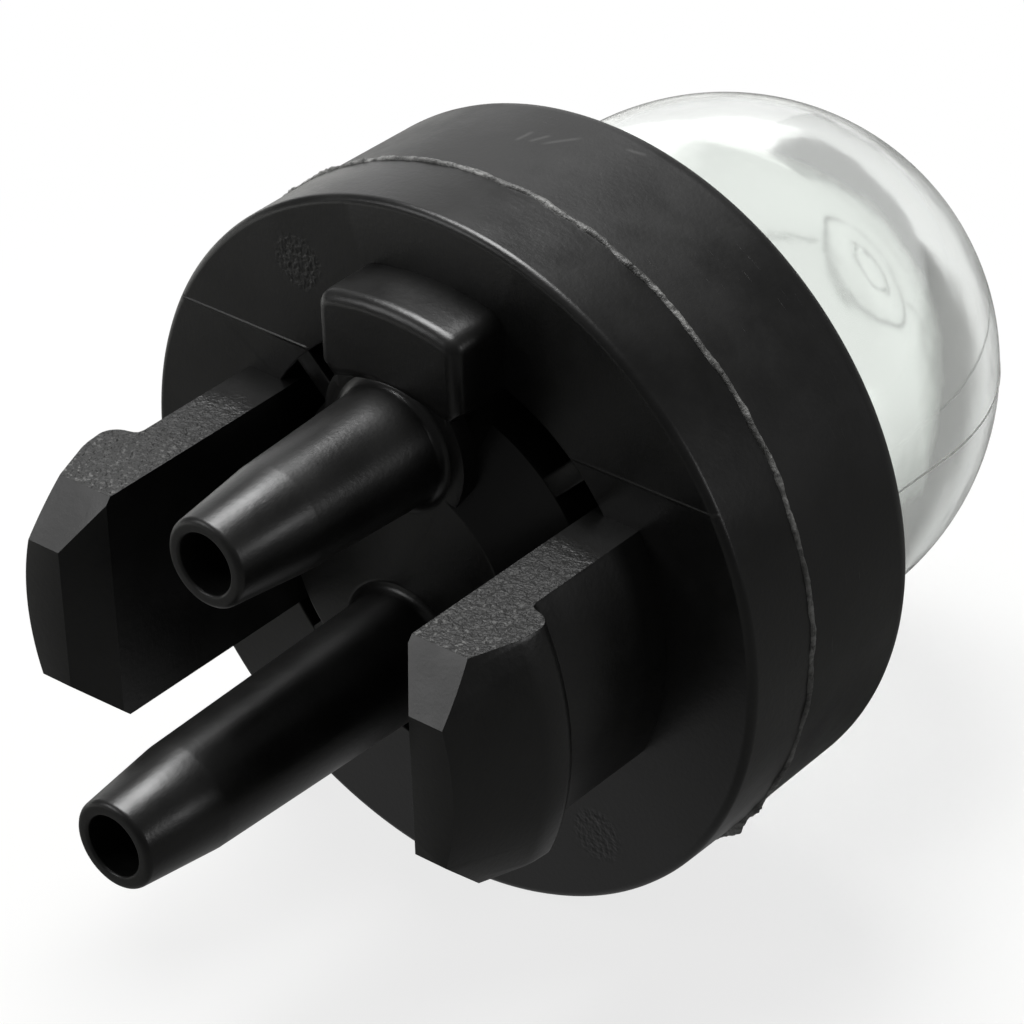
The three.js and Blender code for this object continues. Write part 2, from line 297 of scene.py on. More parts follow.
def plate(name, outline, low, high, edge_round, steps=5):
    """An outline of (x, z) points with depth from y = low to y = high, its high edge rounded."""
    loops = [[(x, low, z) for x, z in outline]]
    for k in range(steps + 1):
        angle = math.pi / 2 * k / steps
        drawn = inset(outline, edge_round * (1 - math.cos(angle)))
        y = high - edge_round * (1 - math.sin(angle))
        loops.append([(x, y, z) for x, z in drawn])
    return lofted(name, loops)


def settle(piece):
    """The piece's modifiers become its mesh."""
    depsgraph = bpy.context.evaluated_depsgraph_get()
    mesh = bpy.data.meshes.new_from_object(piece.evaluated_get(depsgraph))
    piece.modifiers.clear()
    piece.data = mesh


def combine(target, tool, operation):
    modifier = target.modifiers.new(operation, "BOOLEAN")
    modifier.operation = operation
    modifier.solver = "EXACT"
    modifier.object = tool
    settle(target)
    bpy.data.objects.remove(tool)
    return target


def round_edges(piece, width, segments=2, angle=25):
    modifier = piece.modifiers.new("round", "BEVEL")
    modifier.width = width
    modifier.segments = segments
    modifier.limit_method = "ANGLE"
    modifier.angle_limit = math.radians(angle)
    settle(piece)
    return piece


def finish_piece(piece, name, node, material, sharp=32):
    """Brings a piece to metres, shades it smooth up to its sharp edges, gives it its material and hangs it on
    the root body, hiding the CAD part it stands for.
    """
    piece.name = name
    piece.data.name = name
    piece.data.transform(Matrix.Scale(MM, 4))
    piece.data.validate()
    piece.data.shade_smooth()
    piece.data.set_sharp_from_angle(angle=math.radians(sharp))
    weighted = piece.modifiers.new("weighted_normals", "WEIGHTED_NORMAL")
    weighted.keep_sharp = True
    weighted.weight = 60
    settle(piece)
    piece.data.materials.clear()
    piece.data.materials.append(material)
    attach(piece, "root")
    if node:
        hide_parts(node)
    return piece


# Node helpers

class Graph:
    """Adds and links shader nodes in the node tree of a material or a world."""

    def __init__(self, owner):
        owner.use_nodes = True
        self.owner = owner
        self.tree = owner.node_tree
        self.tree.nodes.clear()

    def add(self, kind, inputs=None, **settings):
        made = self.tree.nodes.new(kind)
        for key, value in settings.items():
            setattr(made, key, value)
        for key, value in (inputs or {}).items():
            self.feed(made.inputs[key], value)
        return made

    def feed(self, socket, value):
        if isinstance(value, bpy.types.NodeSocket):
            self.tree.links.new(value, socket)
        else:
            socket.default_value = value

    def maths(self, operation, first, second=0.0):
        return self.add("ShaderNodeMath", {0: first, 1: second}, operation=operation).outputs[0]

    def ramp(self, value, low, high, to_low=0.0, to_high=1.0):
        """Maps value from low..high to to_low..to_high, smoothly and held at the ends."""
        inputs = {"Value": value, "From Min": low, "From Max": high, "To Min": to_low, "To Max": to_high}
        return self.add("ShaderNodeMapRange", inputs, interpolation_type="SMOOTHSTEP").outputs["Result"]

    def blend(self, factor, first, second):
        inputs = {0: factor, 6: first, 7: second}
        return self.add("ShaderNodeMix", inputs, data_type="RGBA").outputs[2]

    def noise(self, place, scale, detail=2.0, rough=0.5):
        inputs = {"Vector": place, "Scale": scale, "Detail": detail, "Roughness": rough}
        return self.add("ShaderNodeTexNoise", inputs).outputs["Fac"]

    def millimetres(self):
        """The surface point in the part's frame, in millimetres."""
        place = self.add("ShaderNodeTexCoord").outputs["Object"]
        return self.add("ShaderNodeVectorMath", {0: place, "Scale": 1 / MM}, operation="SCALE").outputs[0]

    def apart(self, vector):
        """A vector's x, y and z."""
        return tuple(self.add("ShaderNodeSeparateXYZ", {0: vector}).outputs)

    def length(self, a, b):
        """The length of the flat vector (a, b)."""
        return self.maths("SQRT", self.maths("ADD", self.maths("POWER", a, 2.0), self.maths("POWER", b, 2.0)))

    def reach_along(self, a, b, along_a, along_b):
        """How far (a, b) reaches along the direction (along_a, along_b)."""
        return self.maths("ADD", self.maths("MULTIPLY", a, along_a), self.maths("MULTIPLY", b, along_b))

    def stroke(self, a, b, start, end, width):
        """1 on the line from start to end in the plane of a and b, falling to 0 beside it."""
        length = math.hypot(end[0] - start[0], end[1] - start[1])
        step_a = (end[0] - start[0]) / length
        step_b = (end[1] - start[1]) / length
        from_a = self.maths("SUBTRACT", a, start[0])
        from_b = self.maths("SUBTRACT", b, start[1])
        along = self.reach_along(from_a, from_b, step_a, step_b)
        beside = self.reach_along(from_a, from_b, -step_b, step_a)
        reach = self.maths("ABSOLUTE", self.maths("SUBTRACT", along, length / 2))
        within = self.ramp(reach, length / 2, length / 4)
        return self.maths("MULTIPLY", within, self.ramp(self.maths("ABSOLUTE", beside), width, 0.0))

    def bump(self, height, depth, strength=1.0, painted_under_glow=None):
        inputs = {"Strength": strength, "Distance": depth * MM, "Height": height}
        if painted_under_glow is not None:
            inputs["Normal"] = painted_under_glow
        return self.add("ShaderNodeBump", inputs).outputs["Normal"]

    def surface(self, shader):
        self.add("ShaderNodeOutputMaterial", {"Surface": shader})
        return self.owner


def new_material(name):
    return Graph(bpy.data.materials.new(name))


def grey(level):
    return (level, level, level * 0.97, 1)


# Materials

MARK_PLACES = ((4.89, 7.77), (-5.36, -7.25))
MARK_RADIUS = 1.0
MARK_CORE = 0.65
WITNESS_Z = 5.05
WITNESS_X = (4.65, 9.6)
WITNESS_WIDTH = 0.07
FLANGE_FACE = (0.2, 0.05)  # how near y = 0 a point is on the flange's face

# The eroded finish: on surfaces that face up, outside the legs' inner faces, and towards their ends
ERODED_FACING = (0.8, 0.93)
ERODED_ACROSS = (5.2, 5.35)
ERODED_START = (2.0, 3.4)
ERODED_FADE = (1.5, 8.0)


def black_nylon():
    """Satin black moulding with an eroded finish on the legs' upper sides, painted glints on that finish, and
    faint tool marks.
    """
    g = new_material("black_nylon")
    place = g.millimetres()
    x, y, z = g.apart(place)
    across = g.maths("ABSOLUTE", x)
    facing = g.apart(g.add("ShaderNodeNewGeometry").outputs["Normal"])[2]
    on_face = g.ramp(g.maths("ABSOLUTE", y), *FLANGE_FACE)
    cloud = g.noise(place, 0.35, 4.0, 0.6)
    fine = g.noise(place, 6.0, 3.0, 0.6)

    eroded = g.maths("MULTIPLY", g.ramp(facing, *ERODED_FACING), g.ramp(across, *ERODED_ACROSS))
    wobble = g.maths("ADD", y, g.maths("MULTIPLY", cloud, 1.6))
    eroded = g.maths("MULTIPLY", eroded, g.ramp(wobble, *ERODED_START))
    pits = g.noise(place, 4.5, 2.0, 0.7)
    # Painted glints: bright grains put into the colour of the eroded finish stand in for light sparkling off
    # it.
    painted_glints = g.ramp(g.noise(place, 7.5, 2.0, 0.6), 0.56, 0.68)
    painted_glints = g.maths("MULTIPLY", painted_glints, g.ramp(g.noise(place, 1.1, 2.0), 0.3, 0.6, 0.35, 1.0))

    marks = None
    for mark_x, mark_z in MARK_PLACES:
        distance = g.length(g.maths("SUBTRACT", x, mark_x), g.maths("SUBTRACT", z, mark_z))
        mark = g.ramp(distance, MARK_RADIUS, MARK_CORE)
        marks = mark if marks is None else g.maths("ADD", marks, mark)
    marks = g.maths("MULTIPLY", marks, on_face)

    line = g.ramp(g.maths("ABSOLUTE", g.maths("SUBTRACT", z, WITNESS_Z)), WITNESS_WIDTH, 0.0)
    line = g.maths("MULTIPLY", line, g.ramp(across, WITNESS_X[0], WITNESS_X[0] + 0.2))
    line = g.maths("MULTIPLY", line, g.ramp(across, WITNESS_X[1] + 0.3, WITNESS_X[1]))
    line = g.maths("MULTIPLY", line, on_face)
    line = g.maths("MULTIPLY", line, g.ramp(x, -1.0, 1.0, 0.3, 1.0))

    colour = g.blend(g.ramp(cloud, 0.3, 0.7), grey(0.006), grey(0.011))
    dust = g.ramp(g.noise(place, 3.2, 5.0, 0.75), 0.66, 0.78, 0.0, 0.35)
    colour = g.blend(dust, colour, grey(0.02))
    worn = g.maths("MULTIPLY", eroded, g.ramp(y, *ERODED_FADE, 0.15, 1.0))
    colour = g.blend(g.maths("MULTIPLY", worn, 0.7), colour, grey(0.022))
    colour = g.blend(g.maths("MULTIPLY", worn, painted_glints), colour, grey(0.13))
    colour = g.blend(g.maths("MULTIPLY", line, 0.5), colour, grey(0.08))

    rough = g.ramp(cloud, 0.3, 0.7, 0.3, 0.38)
    rough = g.add("ShaderNodeMix", {0: eroded, 2: rough, 3: 0.6}).outputs[0]

    relief = g.bump(fine, 0.012, 0.5)
    relief = g.bump(g.maths("MULTIPLY", pits, eroded), 0.16, 1.0, relief)
    stipple = g.maths("MULTIPLY", g.maths("SUBTRACT", g.noise(place, 5.0, 1.5, 0.6), 0.5), marks)
    relief = g.bump(stipple, 0.06, 1.0, relief)
    relief = g.bump(line, 0.05, 1.0, relief)
    inputs = {"Base Color": colour, "Roughness": rough, "Normal": relief, "IOR": 1.5}
    return g.surface(g.add("ShaderNodeBsdfPrincipled", inputs).outputs[0])


# Scratches on top of the collar, each from and to a place in x and y
SCRATCHES = (
    ((0.96, -4.73), (0.89, -5.56)),
    ((0.62, -4.88), (0.3, -5.6)),
    ((0.25, -4.95), (-0.5, -6.03)),
    ((-1.62, -6.34), (-2.28, -6.61)),
)
SCRATCH_WIDTH = 0.11
SCRATCH_ABOVE = (6.0, 8.0)


def collar_nylon():
    """The collar's satin black, with rubbed patches and fine scratches round it."""
    g = new_material("collar_nylon")
    place = g.millimetres()
    x, y, z = g.apart(place)
    cloud = g.noise(place, 0.3, 5.0, 0.65)
    fine = g.noise(place, 7.0, 3.0, 0.6)
    stretched = g.add("ShaderNodeMapping", {"Vector": place, "Scale": (0.35, 6.0, 0.35)}).outputs[0]
    scratch = g.ramp(g.noise(stretched, 1.6, 3.0, 0.7), 0.68, 0.76)
    colour = g.blend(g.ramp(cloud, 0.3, 0.75), grey(0.007), grey(0.014))
    colour = g.blend(g.maths("MULTIPLY", scratch, 0.25), colour, grey(0.05))
    for start, end in SCRATCHES:
        nick = g.maths("MULTIPLY", g.stroke(x, y, start, end, SCRATCH_WIDTH), g.ramp(z, *SCRATCH_ABOVE))
        colour = g.blend(g.maths("MULTIPLY", nick, 0.5), colour, grey(0.08))
    rough = g.ramp(cloud, 0.3, 0.7, 0.4, 0.52)
    relief = g.bump(fine, 0.012, 0.5)
    relief = g.bump(scratch, 0.02, 0.6, relief)
    inputs = {"Base Color": colour, "Roughness": rough, "Normal": relief, "IOR": 1.5}
    return g.surface(g.add("ShaderNodeBsdfPrincipled", inputs).outputs[0])


def weld_flash():
    """Melted plastic squeezed out of the seam: lighter and rough."""
    g = new_material("weld_flash")
    place = g.millimetres()
    grain = g.noise(place, 4.0, 4.0, 0.7)
    patch = g.noise(place, 0.45, 3.0, 0.6)
    pale = g.blend(g.ramp(grain, 0.3, 0.65), grey(0.05), grey(0.28))
    colour = g.blend(g.ramp(patch, 0.36, 0.6, 0.35, 1.0), grey(0.02), pale)
    relief = g.bump(grain, 0.08, 1.0)
    inputs = {"Base Color": colour, "Roughness": 0.42, "Normal": relief, "IOR": 1.5}
    return g.surface(g.add("ShaderNodeBsdfPrincipled", inputs).outputs[0])


def clear_vinyl():
    """Clear soft vinyl with a faint green-grey tint and a slightly uneven surface."""
    g = new_material("clear_vinyl")
    relief = g.bump(g.noise(g.millimetres(), 0.5, 2.0), 0.05, 0.4)
    inputs = {
        "Base Color": (0.93, 0.955, 0.93, 1),
        "Roughness": 0.09,
        "Specular IOR Level": 0.25,
        "Transmission Weight": 1.0,
        "IOR": 1.46,
        "Normal": relief,
    }
    return g.surface(g.add("ShaderNodeBsdfPrincipled", inputs).outputs[0])


def frosted_vinyl():
    """The same vinyl where the mould's halves meet: cloudy, so it looks paler than the wall."""
    g = new_material("frosted_vinyl")
    inputs = {"Base Color": (0.9, 0.91, 0.89, 1), "Roughness": 0.5, "IOR": 1.46}
    return g.surface(g.add("ShaderNodeBsdfPrincipled", inputs).outputs[0])


def valve_rubber():
    g = new_material("valve_rubber")
    place = g.millimetres()
    bloom = g.noise(place, 1.5, 4.0, 0.6)
    colour = g.blend(g.ramp(bloom, 0.4, 0.7), grey(0.03), grey(0.055))
    relief = g.bump(g.noise(place, 12.0, 2.0), 0.01, 0.6)
    inputs = {"Base Color": colour, "Roughness": 0.62, "Normal": relief, "IOR": 1.5}
    return g.surface(g.add("ShaderNodeBsdfPrincipled", inputs).outputs[0])


# Base

def flange_and_hub():
    corners = [
        (0, HUB_HEIGHT),
        (HUB_TOP_RADIUS, HUB_HEIGHT, HUB_EDGE_ROUND),
        (GROOVE_INNER, 0, GROOVE_EDGE_ROUND),
        (GROOVE_INNER + GROOVE_DRAFT, -GROOVE_DEPTH, GROOVE_FLOOR_ROUND),
        (GROOVE_OUTER - GROOVE_DRAFT, -GROOVE_DEPTH, GROOVE_FLOOR_ROUND),
        (GROOVE_OUTER, 0, GROOVE_EDGE_ROUND),
        (FLANGE_RADIUS, 0, FLANGE_EDGE_ROUND),
        (FLANGE_RADIUS, SEAM_Y),
        (BULB_SEAT_RADIUS, SEAM_Y),
        (BULB_SEAT_RADIUS, BULB_SEAT_Y, SEAT_EDGE_ROUND),
        (VALVE_FLOOR_RADIUS, BULB_SEAT_Y, SEAT_EDGE_ROUND),
        (VALVE_FLOOR_RADIUS, VALVE_FLOOR_Y, SEAT_EDGE_ROUND),
        (0, VALVE_FLOOR_Y),
    ]
    return turned("flange", filleted(corners, 4), FINE)


def groove_rib(degrees):
    low = -GROOVE_DEPTH - BURIED
    near = GROOVE_INNER - BURIED
    far = GROOVE_OUTER + BURIED
    half = RIB_WIDTH / 2
    outline = [(near, -half), (far, -half), (far, half), (near, half)]
    rib = plate("rib", outline, low, -RIB_DROP, RIB_EDGE_ROUND, 2)
    rib.data.transform(Matrix.Rotation(-math.radians(degrees), 4, "Y"))
    return rib


def block():
    """Its outer and inner sides follow the flange's circle, and its feet are cut off at 45 degrees."""
    side = math.degrees(math.asin(BLOCK_HALF / BLOCK_OUTER_RADIUS))
    foot_half = BLOCK_HALF - BLOCK_FOOT_CHAMFER
    foot = math.degrees(math.asin(foot_half / BLOCK_INNER_RADIUS))
    outer = arc((0, 0), (BLOCK_OUTER_RADIUS, BLOCK_OUTER_RADIUS), 90 - side, 90 + side, 6)
    inner = arc((0, 0), (BLOCK_INNER_RADIUS, BLOCK_INNER_RADIUS), 90 + foot, 90 - foot, 12)
    shoulder = inner[0][1] + BLOCK_FOOT_CHAMFER
    corners = [
        *inner,
        (BLOCK_HALF, shoulder),
        (*outer[0], BLOCK_CORNER_ROUND),
        *outer[1:-1],
        (*outer[-1], BLOCK_CORNER_ROUND),
        (-BLOCK_HALF, shoulder),
    ]
    return plate("block", filleted(corners), -GROOVE_DEPTH - BURIED, BLOCK_HEIGHT, BLOCK_EDGE_ROUND)


def neck():
    reach = BLOCK_INNER_RADIUS + BURIED
    outline = [(-NECK_HALF, NECK_START), (NECK_HALF, NECK_START), (NECK_HALF, reach), (-NECK_HALF, reach)]
    return plate("neck", outline, -GROOVE_DEPTH - BURIED, HUB_HEIGHT - NECK_DROP, NECK_EDGE_ROUND, 3)


def nipple(place):
    z, reach = place
    shoulder = reach - NIPPLE_TAPER
    foot = NIPPLE_BASE_RADIUS + NIPPLE_FOOT_ROUND
    corners = [
        (0, HUB_HEIGHT - BURIED),
        (foot + NIPPLE_SKIRT, HUB_HEIGHT - BURIED),
        (foot + NIPPLE_SKIRT, HUB_HEIGHT - 0.05),
        (foot, HUB_HEIGHT + 0.01),
        *arc((foot, HUB_HEIGHT + NIPPLE_FOOT_ROUND), (NIPPLE_FOOT_ROUND, NIPPLE_FOOT_ROUND), 265, 182, 6),
        (NIPPLE_SHOULDER_RADIUS, shoulder, NIPPLE_SHOULDER_ROUND),
        (NIPPLE_TIP_RADIUS, reach, NIPPLE_TIP_ROUND),
        (NIPPLE_BORE, reach, BORE_RIM_ROUND),
        (NIPPLE_BORE, reach - BORE_START),
        (0, reach - BORE_START),
    ]
    return turned("nipple", filleted(corners, 6), MEDIUM, z)


def leg(side):
    head_centre = LEG_HEAD_START + LEG_HEAD_ROUND
    head = LEG_HEAD_RADIUS - LEG_HEAD_ROUND
    ring = turned(
        "leg",
        [
            (0, -GROOVE_DEPTH - BURIED),
            (LEG_STEM_RADIUS, -GROOVE_DEPTH - BURIED),
            *[(LEG_STEM_RADIUS + out, LEG_HEAD_START - before) for out, before in LEG_FILLET],
            *arc((head, head_centre), (LEG_HEAD_ROUND, LEG_HEAD_ROUND), LEG_HEAD_ARC_START, 0, 8),
            *[(LEG_HEAD_RADIUS - inward, LEG_NOSE_START - before) for inward, before in LEG_NOSE_BEND],
            (LEG_NOSE_RADIUS, LEG_REACH),
            (0, LEG_REACH),
        ],
        FINE,
    )
    low = -GROOVE_DEPTH - BURIED
    up = LEG_UPPER_CHAMFER
    down = LEG_LOWER_CHAMFER
    profile = [
        (low, -LEG_HALF_WIDTH),
        (LEG_REACH - down[0], -LEG_HALF_WIDTH),
        (LEG_REACH, -LEG_HALF_WIDTH + down[1]),
        (LEG_REACH, LEG_HALF_WIDTH - up[1]),
        (LEG_REACH - up[0], LEG_HALF_WIDTH),
        (low, LEG_HALF_WIDTH),
    ]
    inner = side * LEG_INNER_FACE
    outer = side * (LEG_HEAD_RADIUS + BURIED)
    slab = lofted("slab", [[(inner, y, z) for y, z in profile], [(outer, y, z) for y, z in profile]])
    made = combine(ring, slab, "INTERSECT")
    reach, depth = LEG_LEAD
    wedge = [
        (inner, LEG_REACH - reach),
        (inner + side * depth, LEG_REACH),
        (inner + side * depth, LEG_REACH + BURIED),
        (inner - side * BURIED, LEG_REACH + BURIED),
        (inner - side * BURIED, LEG_REACH - reach),
    ]
    half = LEG_HALF_WIDTH + BURIED
    lead = lofted("lead", [[(x, y, -half) for x, y in wedge], [(x, y, half) for x, y in wedge]])
    made = combine(made, lead, "DIFFERENCE")
    return round_edges(made, LEG_EDGE_ROUND)


def passage(radius, low, high, z):
    outline = [(0, low), (radius, low), (radius, high), (0, high)]
    return turned("passage", outline, MEDIUM, z)


def make_base(material):
    moulding = flange_and_hub()
    for part in [neck(), block(), nipple(INLET), nipple(OUTLET), leg(-1), leg(1)]:
        combine(moulding, part, "UNION")
    for degrees in RIB_ANGLES:
        combine(moulding, groove_rib(degrees), "UNION")
    below = VALVE_FLOOR_Y - BURIED
    for hole in (
        passage(VALVE_HOLE_RADIUS, below, CHAMBER_END, 0),
        passage(CHAMBER_RADIUS, VALVE_FLOOR_Y + VALVE_WEB, CHAMBER_END, 0),
        passage(NIPPLE_BORE - BORE_UNDER, below, INLET[1] + BURIED, INLET[0]),
        passage(NIPPLE_BORE - BORE_UNDER, OUTLET_BORE_END, OUTLET[1] + BURIED, OUTLET[0]),
    ):
        combine(moulding, hole, "DIFFERENCE")
    return finish_piece(moulding, "base_moulding", "base", material)


# Weld line: an uneven bead round the seam

def make_weld(material):
    verts = []
    for k in range(WELD_SEGMENTS):
        angle = 2 * math.pi * k / WELD_SEGMENTS
        outward = Vector((math.cos(angle), 0, math.sin(angle)))
        seed = outward * 14
        swell = 0.5 + 0.9 * noise.noise(seed) + 0.5 * noise.noise(seed * 5)
        drift = 0.09 * noise.noise(seed * 0.7 + Vector((5, 5, 5)))
        for place, spread, growth in FLASH_LUMPS:
            swell += growth * math.exp(-((math.degrees(angle) - place) / spread) ** 2)
        height = max(WELD_LEAST, WELD_HEIGHT * (1 + swell))
        width = WELD_WIDTH * (1 + 0.4 * noise.noise(seed * 2.3))
        for j in range(WELD_POINTS):
            turn = 2 * math.pi * j / WELD_POINTS
            rough = 1 + 0.25 * noise.noise(seed * 9 + Vector((0, j * 3.1, 0)))
            radius = WELD_RADIUS - WELD_BURIED + height * math.cos(turn) * rough
            y = SEAM_Y + drift + width / 2 * math.sin(turn)
            verts.append(outward * radius + Vector((0, y, 0)))
    faces = []
    for k in range(WELD_SEGMENTS):
        here = k * WELD_POINTS
        following = (k + 1) % WELD_SEGMENTS * WELD_POINTS
        for j in range(WELD_POINTS):
            i = (j + 1) % WELD_POINTS
            faces.append([here + j, here + i, following + i, following + j])
    bead = new_piece("weld_bead", verts, faces)
    return finish_piece(bead, "weld_bead", None, material, sharp=60)


# Collar

def make_collar(material):
    wall = BULB_FLANGE_RADIUS + COLLAR_FIT
    mouth = DOME_RADIUS + COLLAR_MOUTH_GAP
    corners = [
        (wall, SEAM_Y),
        (COLLAR_RADIUS, SEAM_Y),
        (COLLAR_RADIUS - COLLAR_DRAFT, COLLAR_END_Y, COLLAR_EDGE_ROUND),
        (mouth, COLLAR_END_Y, COLLAR_INNER_ROUND),
        (mouth, BULB_FLANGE_TOP_Y),
        (wall, BULB_FLANGE_TOP_Y),
    ]
    ring = turned("collar", filleted(corners, 10), FINE)
    return finish_piece(ring, "collar_ring", "retaining_collar", material)


# Bulb

def cap_y(radius):
    return -DOME_STRAIGHT_END - DOME_CAP_HEIGHT * math.sqrt(1 - (radius / DOME_RADIUS) ** 2)


def make_bulb(material):
    """A thick shell whose crown is a flat round recess with the ring that the gate leaves."""
    inner = DOME_RADIUS - DOME_WALL
    cap = (DOME_RADIUS, DOME_CAP_HEIGHT)
    hollow = (inner, DOME_CAP_HEIGHT - DOME_WALL)
    brow = math.degrees(math.acos(CROWN_RADIUS / DOME_RADIUS))
    floor = cap_y(CROWN_RADIUS) + CROWN_DEPTH
    corners = [
        (inner, BULB_SEAT_Y),
        (BULB_FLANGE_RADIUS, BULB_SEAT_Y, BULB_SMALL_ROUND),
        (BULB_FLANGE_RADIUS, BULB_FLANGE_TOP_Y, BULB_FLANGE_ROUND),
        (DOME_RADIUS, BULB_FLANGE_TOP_Y, BULB_SMALL_ROUND),
        *arc((0, -DOME_STRAIGHT_END), cap, 0, -brow + 1, 44),
        (CROWN_RADIUS, cap_y(CROWN_RADIUS), CROWN_EDGE_ROUND),
        (CROWN_RADIUS - CROWN_SLOPE, floor, CROWN_FLOOR_ROUND),
        (GATE_RADIUS + GATE_WIDTH, floor, CROWN_FLOOR_ROUND),
        (GATE_RADIUS + GATE_FLAT_HALF, floor - GATE_HEIGHT, GATE_TOP_ROUND),
        (GATE_RADIUS - GATE_FLAT_HALF, floor - GATE_HEIGHT, GATE_TOP_ROUND),
        (GATE_RADIUS - GATE_WIDTH, floor, CROWN_FLOOR_ROUND),
        (0, floor),
        (0, -DOME_STRAIGHT_END - DOME_CAP_HEIGHT + DOME_WALL),
        *arc((0, -DOME_STRAIGHT_END), hollow, -89, 0, 44),
    ]
    shell = turned("bulb", filleted(corners, 4), 192)
    return finish_piece(shell, "bulb_shell", "bulb", material)


def make_parting_line(material):
    """The fine ridge that the two halves of the bulb's mould leave, from the collar to the crown."""
    reach = math.degrees(math.acos(CROWN_RADIUS / DOME_RADIUS)) - 2
    path = [(DOME_RADIUS, COLLAR_END_Y - PARTING_START)]
    path += arc((0, -DOME_STRAIGHT_END), (DOME_RADIUS, DOME_CAP_HEIGHT), 0, -reach, 40)
    half = PARTING_WIDTH / 2
    for side in (-1, 1):
        loops = []
        for radius, y in path:
            near = radius - PARTING_BURIED
            proud = radius + PARTING_HEIGHT
            loops.append([(side * near, y, -half), (side * proud, y, 0), (side * near, y, half)])
        name = "bulb_parting_line_" + ("left" if side > 0 else "right")
        finish_piece(lofted(name, loops), name, None, material)


# Check valve

def make_valve(material):
    web_end = VALVE_FLOOR_Y + VALVE_WEB
    stem = VALVE_HOLE_RADIUS - STEM_FIT
    barb = CHAMBER_RADIUS - BARB_FIT
    rim = VALVE_FLOOR_Y - UMBRELLA_THICKNESS
    crown = rim - UMBRELLA_CROWN
    corners = [
        (0, DUCKBILL_END),
        (stem, DUCKBILL_END),
        (stem, web_end + BARB_LENGTH),
        (barb, web_end),
        (stem, web_end),
        (stem, VALVE_FLOOR_Y),
        (UMBRELLA_RADIUS, VALVE_FLOOR_Y),
        (UMBRELLA_RADIUS, VALVE_FLOOR_Y - UMBRELLA_THICKNESS / 2, UMBRELLA_EDGE_ROUND),
        (stem + UMBRELLA_THICKNESS, rim - UMBRELLA_THICKNESS / 2, UMBRELLA_NECK_ROUND),
        (stem, crown, UMBRELLA_CROWN_ROUND),
        (0, crown),
    ]
    body = turned("valve", filleted(corners, 6), MEDIUM)
    lip_start = web_end + BARB_LENGTH
    wide = UMBRELLA_RADIUS + BURIED
    top = crown - BURIED
    half = DUCKBILL_LIP / 2
    wedge = [
        (-CHAMBER_RADIUS, lip_start),
        (-half, DUCKBILL_END),
        (half, DUCKBILL_END),
        (CHAMBER_RADIUS, lip_start),
        (wide, lip_start),
        (wide, top),
        (-wide, top),
        (-wide, lip_start),
    ]
    envelope = lofted("wedge", [[(x, y, -wide) for x, y in wedge], [(x, y, wide) for x, y in wedge]])
    combine(body, envelope, "INTERSECT")
    combine(body, passage(VALVE_BORE, top, lip_start, 0), "DIFFERENCE")
    across = SLIT_WIDTH / 2
    along = SLIT_LENGTH / 2
    slit = [(-across, -along), (across, -along), (across, along), (-across, along)]
    cutter = lofted("slit", [[(x, y, z) for x, z in slit] for y in (web_end, DUCKBILL_END + BURIED)])
    combine(body, cutter, "DIFFERENCE")
    return finish_piece(body, "umbrella_valve", "check_valve", material)


# Floor, light and camera

FLOOR_Z = -11.02
FLOOR_SIZE = 1.5
CAMERA_PLACE = (-74.80, 83.51, 73.54)
CAMERA_RIGHT = (-0.76798, -0.63985, -0.02826)
CAMERA_UP = (0.32833, -0.43119, 0.84040)
CAMERA_BACK = (-0.54992, 0.63613, 0.54123)
CAMERA_LENS = 168.75
LAMP_DISTANCE = 300
# Name, direction from the part, width and brightness
SOFTBOXES = (
    ("key_above", (0.26, -0.19, 0.95), 150, 16.0),
    ("backdrop_behind_left", (0.74, -0.66, 0.12), 240, 0.8),
    ("rim_behind_right", (-0.82, -0.32, 0.30), 50, 8.0),
    ("fill_front_left", (0.55, 0.65, 0.53), 110, 3.8),
)
# The floor as it lights the part: its grey from the near side to the far left, over a stretch of x
FLOOR_NEAR_GREY = 0.15
FLOOR_FAR_GREY = 0.75
FLOOR_TURN = (25, 70)
# A painted glow on the floor under the part, which lights the part from below, over a stretch of distance
UNDER_GLOW = 0.3
UNDER_TURN = (17, 5)
# The floor as it is seen through the clear bulb, over a stretch of x: a painted shadow of the part towards
# -x, white towards +x
THROUGH_PAINTED_SHADOW = 0.2
THROUGH_WHITE = 1.0
THROUGH_TURN = (-8, 4)
# The floor as the camera sees it: white, with a share left to the lamps so that the shadow shows
SEEN_GREY = 0.8
SEEN_GLOW = 0.78
SEEN_TURN = (22, 45)
WORLD_DIM = 0.1
WORLD_THROUGH = 0.52


def floor_material():
    """White with a soft shadow to the camera, a painted shadow fading to white through the bulb, and grey
    with a painted glow under the part to other rays.
    """
    g = new_material("pale_floor")
    x, y, z = g.apart(g.millimetres())
    distance = g.length(x, y)
    rays = g.add("ShaderNodeLightPath")
    seen = rays.outputs["Is Camera Ray"]
    through = rays.outputs["Is Transmission Ray"]
    side = g.ramp(x, *FLOOR_TURN)
    shade = g.blend(seen, g.blend(side, grey(FLOOR_NEAR_GREY), grey(FLOOR_FAR_GREY)), grey(SEEN_GREY))
    lit = g.add("ShaderNodeBsdfDiffuse", {"Color": shade})
    glow = g.add("ShaderNodeEmission", {"Color": (1, 1, 1, 1), "Strength": 1.0})
    direct = g.maths("MULTIPLY", seen, g.ramp(distance, *SEEN_TURN, SEEN_GLOW, 1.0))
    # Through the bulb the floor shows a painted shadow of the part, dark towards -x.
    behind = g.maths("MULTIPLY", through, g.ramp(x, *THROUGH_TURN, THROUGH_PAINTED_SHADOW, THROUGH_WHITE))
    # Painted glow: the floor near the part shines to light its underside from below.
    painted_under_glow = g.maths("MULTIPLY", g.ramp(distance, *UNDER_TURN), UNDER_GLOW)
    painted_under_glow = g.maths("MULTIPLY", painted_under_glow, g.maths("SUBTRACT", 1.0, through))
    share = g.maths("MAXIMUM", painted_under_glow, g.maths("MAXIMUM", direct, behind))
    shares = {0: share, 1: lit.outputs[0], 2: glow.outputs[0]}
    return g.surface(g.add("ShaderNodeMixShader", shares).outputs[0])


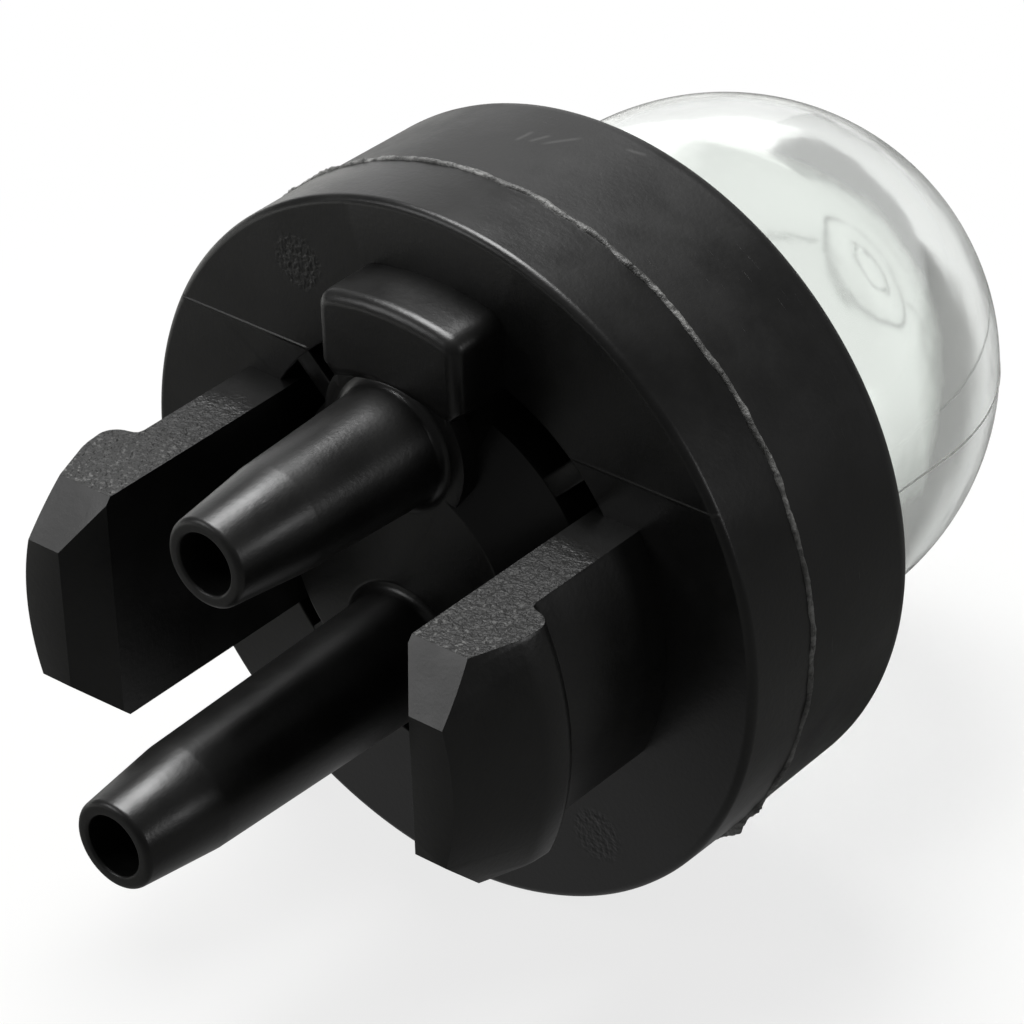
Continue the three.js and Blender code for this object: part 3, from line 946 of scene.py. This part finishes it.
def make_floor():
    mesh = bpy.data.meshes.new("floor")
    half = FLOOR_SIZE / 2
    z = FLOOR_Z * MM
    corners = [(-half, -half, z), (half, -half, z), (half, half, z), (-half, half, z)]
    mesh.from_pydata(corners, [], [(0, 1, 2, 3)])
    floor = bpy.data.objects.new("floor", mesh)
    bpy.context.scene.collection.objects.link(floor)
    mesh.materials.append(floor_material())


def make_world():
    """White to the camera, mid grey through the clear bulb, and dim to everything else."""
    world = bpy.data.worlds.new("studio")
    bpy.context.scene.world = world
    g = Graph(world)
    rays = g.add("ShaderNodeLightPath")
    inputs = {"Value": rays.outputs["Is Camera Ray"], "To Min": WORLD_DIM, "To Max": 1.0}
    seen = g.add("ShaderNodeMapRange", inputs).outputs["Result"]
    through = g.maths("MULTIPLY", rays.outputs["Is Transmission Ray"], WORLD_THROUGH)
    strength = g.maths("MAXIMUM", seen, through)
    background = g.add("ShaderNodeBackground", {"Color": (1, 1, 1, 1), "Strength": strength})
    g.add("ShaderNodeOutputWorld", {"Surface": background.outputs[0]})


def softbox(name, direction, width, brightness):
    """A square lamp that faces the part from a direction."""
    lamp = bpy.data.lights.new(name, "AREA")
    lamp.shape = "RECTANGLE"
    lamp.size = width * MM
    lamp.size_y = width * MM
    lamp.energy = math.pi * (width * MM) ** 2 * brightness
    box = bpy.data.objects.new(name, lamp)
    bpy.context.scene.collection.objects.link(box)
    box.location = Vector(direction).normalized() * LAMP_DISTANCE * MM
    box.rotation_euler = (-box.location).to_track_quat("-Z", "Y").to_euler()


def make_lights():
    for lamp in SOFTBOXES:
        softbox(*lamp)


def make_camera():
    data = bpy.data.cameras.new("camera")
    data.lens = CAMERA_LENS
    data.sensor_width = 36
    data.clip_start = 0.005
    data.dof.use_dof = False
    camera = bpy.data.objects.new("camera", data)
    bpy.context.scene.collection.objects.link(camera)
    turn = Matrix((CAMERA_RIGHT, CAMERA_UP, CAMERA_BACK)).transposed().to_4x4()
    camera.matrix_world = Matrix.Translation(Vector(CAMERA_PLACE) * MM) @ turn
    bpy.context.scene.camera = camera


make_camera()
make_base(black_nylon())
make_collar(collar_nylon())
make_weld(weld_flash())
make_bulb(clear_vinyl())
make_parting_line(frosted_vinyl())
make_valve(valve_rubber())
make_floor()
make_world()
make_lights()

bpy.context.scene.view_settings.view_transform = "Standard"
